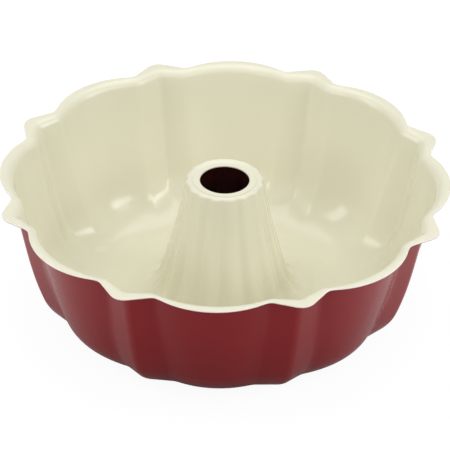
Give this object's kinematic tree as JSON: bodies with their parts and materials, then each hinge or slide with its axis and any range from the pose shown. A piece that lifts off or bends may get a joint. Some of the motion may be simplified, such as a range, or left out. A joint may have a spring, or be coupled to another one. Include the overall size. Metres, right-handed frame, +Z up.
{
  "type": "bundt pan",
  "caption": "Drawn steel ring-cake pan with round lobes between pointed ribs, a flat scalloped flange and an open ridged centre tube; cream ceramic inside, dark red enamel outside.",
  "frame": {"origin": "centre of the flat ring that the pan rests on", "axes": "+Z up through the centre tube; a lobe is centred on each of +X, -X, +Y and -Y"},
  "size_m": [0.2502, 0.2502, 0.0843],
  "materials": {
    "steel": "cold-rolled sheet, hidden between the two coats",
    "cream_ceramic": "smooth satin-gloss cream non-stick ceramic coat",
    "red_enamel": "dark red semi-gloss enamel"
  },
  "bodies": {
    "root": {"steel_shell": "steel", "ceramic_lining": "cream_ceramic", "exterior_enamel": "red_enamel"}
  },
  "joints": []
}
